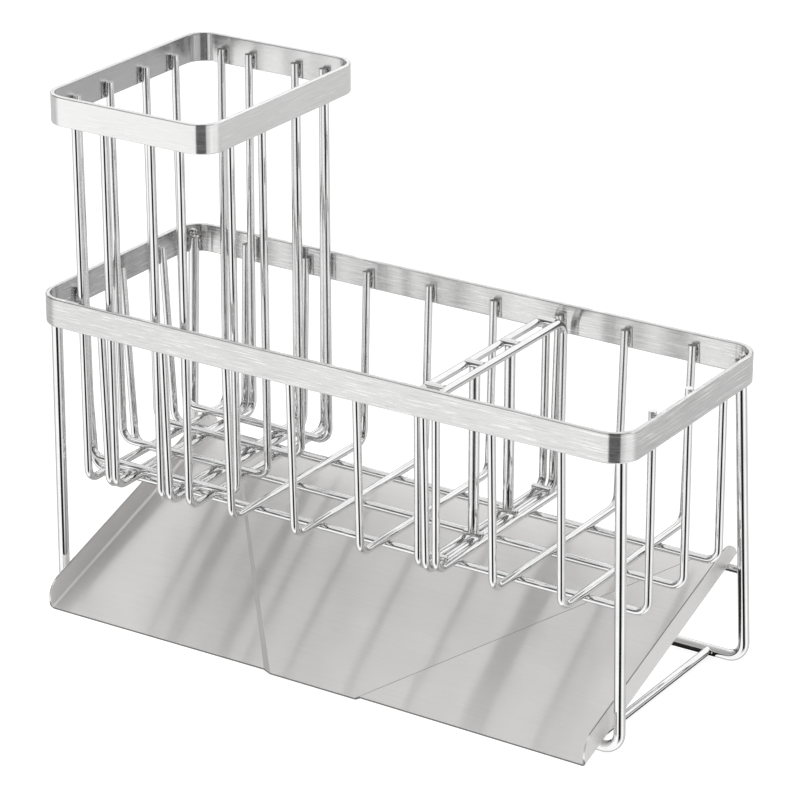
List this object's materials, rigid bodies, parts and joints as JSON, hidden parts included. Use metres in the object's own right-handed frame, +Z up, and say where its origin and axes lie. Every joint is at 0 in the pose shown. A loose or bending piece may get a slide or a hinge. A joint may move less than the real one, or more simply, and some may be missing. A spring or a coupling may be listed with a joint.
{
  "type": "kitchen sink caddy",
  "caption": "Stainless wire sink caddy: oblong basket on leg frames, tall drop-in brush bin, lift-out divider and a sloping slide-out drip tray with a front spout.",
  "frame": {"origin": "on the counter, under the middle of the basket's rim", "axes": "+X along the caddy's length, away from the tall bin; -Y towards the front, where the tray's spout is; +Z up"},
  "size_m": [0.2522, 0.1094, 0.2013],
  "materials": {
    "bright_wire": "bright polished stainless wire",
    "brushed_strip": "brushed along its length",
    "satin_sheet": "satin, brushed from side to side"
  },
  "bodies": {
    "frame": {"main_rim_band": "brushed_strip", "cross_wire_1": "bright_wire", "cross_wire_2": "bright_wire", "cross_wire_3": "bright_wire", "cross_wire_4": "bright_wire", "cross_wire_5": "bright_wire", "cross_wire_6": "bright_wire", "cross_wire_7": "bright_wire", "cross_wire_8": "bright_wire", "long_wire_front": "bright_wire", "long_wire_middle": "bright_wire", "long_wire_back": "bright_wire", "front_leg_frame": "bright_wire", "back_leg_frame": "bright_wire", "base_tie_left": "bright_wire", "base_tie_right": "bright_wire", "tray_support_bar": "bright_wire"},
    "tall_bin": {"bin_rim_band": "brushed_strip", "bin_cross_wire_1": "bright_wire", "bin_cross_wire_2": "bright_wire", "bin_cross_wire_3": "bright_wire", "bin_cross_wire_4": "bright_wire", "bin_side_wire_1": "bright_wire", "bin_side_wire_2": "bright_wire", "bin_side_wire_3": "bright_wire", "bin_side_wire_4": "bright_wire"},
    "divider": {"divider_loop_left": "bright_wire", "divider_loop_right": "bright_wire", "divider_upright_front": "bright_wire", "divider_upright_back": "bright_wire", "divider_top_tie_1": "bright_wire", "divider_top_tie_2": "bright_wire", "divider_top_tie_3": "bright_wire", "divider_top_tie_4": "bright_wire", "divider_bottom_tie_1": "bright_wire", "divider_bottom_tie_2": "bright_wire", "divider_bottom_tie_3": "bright_wire", "divider_bottom_tie_4": "bright_wire"},
    "tray": {"drip_tray": "satin_sheet"}
  },
  "joints": [
    {"name": "tray_slide", "type": "slide", "parent": "frame", "child": "tray", "axis": [0, -1, 0], "range_m": [0, 0.095]},
    {"name": "bin_lift", "type": "slide", "parent": "frame", "child": "tall_bin", "axis": [0, 0, 1], "range_m": [0, 0.08]},
    {"name": "divider_lift", "type": "slide", "parent": "frame", "child": "divider", "axis": [0, 0, 1], "range_m": [0, 0.08]}
  ]
}
